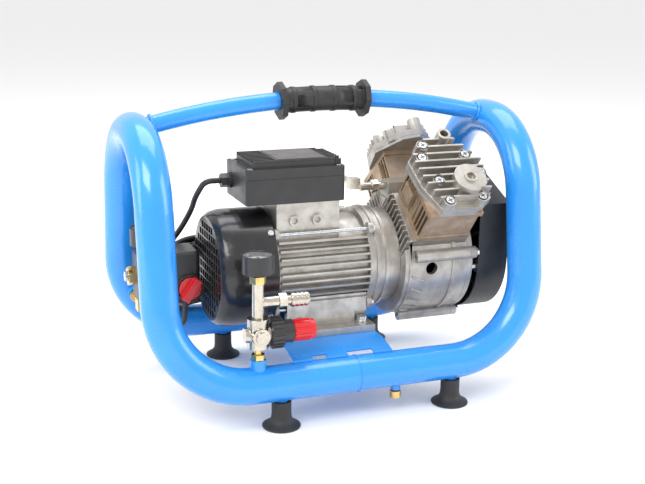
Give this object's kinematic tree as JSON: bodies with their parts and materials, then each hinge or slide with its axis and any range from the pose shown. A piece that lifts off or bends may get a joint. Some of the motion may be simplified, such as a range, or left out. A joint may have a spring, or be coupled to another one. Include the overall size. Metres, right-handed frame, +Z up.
{
  "type": "portable air compressor",
  "caption": "Portable oil-free air compressor in a carrying cage whose bent tube is also the tank, with motor, V-shaped pump, pressure switch and regulator.",
  "frame": {"origin": "on the floor, below the middle of the whole box", "axes": "+X along the motor shaft towards the pump, +Y to the rear, +Z up"},
  "size_m": [0.588, 0.347, 0.4504],
  "materials": {
    "blue_paint": "gloss",
    "black_plastic": "satin",
    "rubber": "matte",
    "cast_aluminium": "cast",
    "tan_aluminium": "cast",
    "black_metal": "satin",
    "zinc_steel": "zinc plated",
    "dark_steel": "ground",
    "nickel": "nickel plated",
    "brass": "turned",
    "copper": "enamelled copper",
    "red_plastic": "gloss",
    "white_dial": "matt",
    "lens": "clear",
    "cord_black": "satin"
  },
  "bodies": {
    "frame": {"tank_tube_left": "blue_paint", "tank_tube_right": "blue_paint", "welded_fittings": "blue_paint", "rubber_feet": "rubber", "foot_screws": "zinc_steel", "handle_tube": "blue_paint", "handle_grip": "rubber", "base_plate": "blue_paint", "motor_bolts": "zinc_steel", "motor_housing": "cast_aluminium", "stator_core": "dark_steel", "stator_windings": "copper", "shaft_bearings": "zinc_steel", "rear_end_shield": "cast_aluminium", "front_flange": "cast_aluminium", "tie_rods": "zinc_steel", "fan_cover": "black_plastic", "terminal_box": "black_plastic", "terminal_box_lid": "black_plastic", "small_screws": "zinc_steel", "run_capacitor": "white_dial", "cable_glands": "black_plastic", "motor_lead": "cord_black", "crankcase": "cast_aluminium", "crankcase_cover": "cast_aluminium", "front_cylinder": "tan_aluminium", "rear_cylinder": "tan_aluminium", "valve_plates": "cast_aluminium", "front_head": "cast_aluminium", "rear_head": "cast_aluminium", "pump_screws": "zinc_steel", "fan_shroud": "black_plastic", "air_pipe": "nickel", "pipe_fittings": "brass", "switch_base": "black_plastic", "switch_cover": "black_plastic", "outlet_tee": "nickel", "gauge_cases": "black_metal", "gauge_dials": "white_dial", "gauge_lenses": "lens", "regulator_body": "nickel", "regulator_bonnet": "black_plastic", "coupling_body": "nickel", "mains_cord": "cord_black", "mains_cord_coil": "cord_black", "mains_plug": "black_plastic"},
    "rotor": {"crankshaft": "dark_steel", "rotor_core": "dark_steel", "motor_fan": "black_plastic", "pump_fan": "black_plastic"},
    "front_piston_body": {"front_piston": "cast_aluminium"},
    "rear_piston_body": {"rear_piston": "cast_aluminium"},
    "start_knob": {"switch_knob": "red_plastic"},
    "safety_stem": {"safety_cap": "zinc_steel"},
    "drain": {"drain_screw": "brass"},
    "regulator_stem": {"regulator_spindle": "brass"},
    "regulator_grip": {"regulator_knob": "red_plastic"},
    "coupling_ring": {"coupling_sleeve": "nickel"},
    "front_needle": {"front_gauge_needle": "black_metal"},
    "tank_needle": {"tank_gauge_needle": "black_metal"}
  },
  "joints": [
    {"name": "shaft_spin", "type": "hinge", "parent": "frame", "child": "rotor", "pos_m": [0, 0, 0.1885], "axis": [1, 0, 0], "continuous": true},
    {"name": "front_piston_stroke", "type": "slide", "parent": "frame", "child": "front_piston_body", "axis": [0, -0.6428, 0.766], "range_m": [-0.012, 0.012]},
    {"name": "rear_piston_stroke", "type": "slide", "parent": "frame", "child": "rear_piston_body", "axis": [0, 0.6428, 0.766], "range_m": [-0.012, 0.012]},
    {"name": "switch_knob_turn", "type": "hinge", "parent": "frame", "child": "start_knob", "pos_m": [-0.197, 0, 0.162], "axis": [0, 1, 0], "range_deg": [0, 90]},
    {"name": "safety_cap_pull", "type": "slide", "parent": "frame", "child": "safety_stem", "axis": [-1, 0, 0], "range_m": [0, 0.003], "stiffness_N_per_m": 800},
    {"name": "drain_screw_turn", "type": "hinge", "parent": "frame", "child": "drain", "pos_m": [0.06, -0.147, 0.029], "axis": [0, 0, 1], "range_deg": [0, 540]},
    {"name": "regulator_turn", "type": "hinge", "parent": "frame", "child": "regulator_stem", "pos_m": [-0.142, -0.147, 0.1355], "axis": [1, 0, 0], "range_deg": [-720, 720]},
    {"name": "regulator_knob_pull", "type": "slide", "parent": "regulator_stem", "child": "regulator_grip", "axis": [1, 0, 0], "range_m": [0, 0.004]},
    {"name": "coupling_sleeve_pull", "type": "slide", "parent": "frame", "child": "coupling_ring", "axis": [-1, 0, 0], "range_m": [0, 0.005], "stiffness_N_per_m": 600},
    {"name": "front_gauge_sweep", "type": "hinge", "parent": "frame", "child": "front_needle", "pos_m": [-0.142, -0.147, 0.236], "axis": [0, 0, 1], "range_deg": [-270, 0], "stiffness_Nm_per_rad": 0.0005},
    {"name": "tank_gauge_sweep", "type": "hinge", "parent": "frame", "child": "tank_needle", "pos_m": [-0.253, 0.03, 0.239], "axis": [0, 0, 1], "range_deg": [-270, 0], "stiffness_Nm_per_rad": 0.0005}
  ]
}
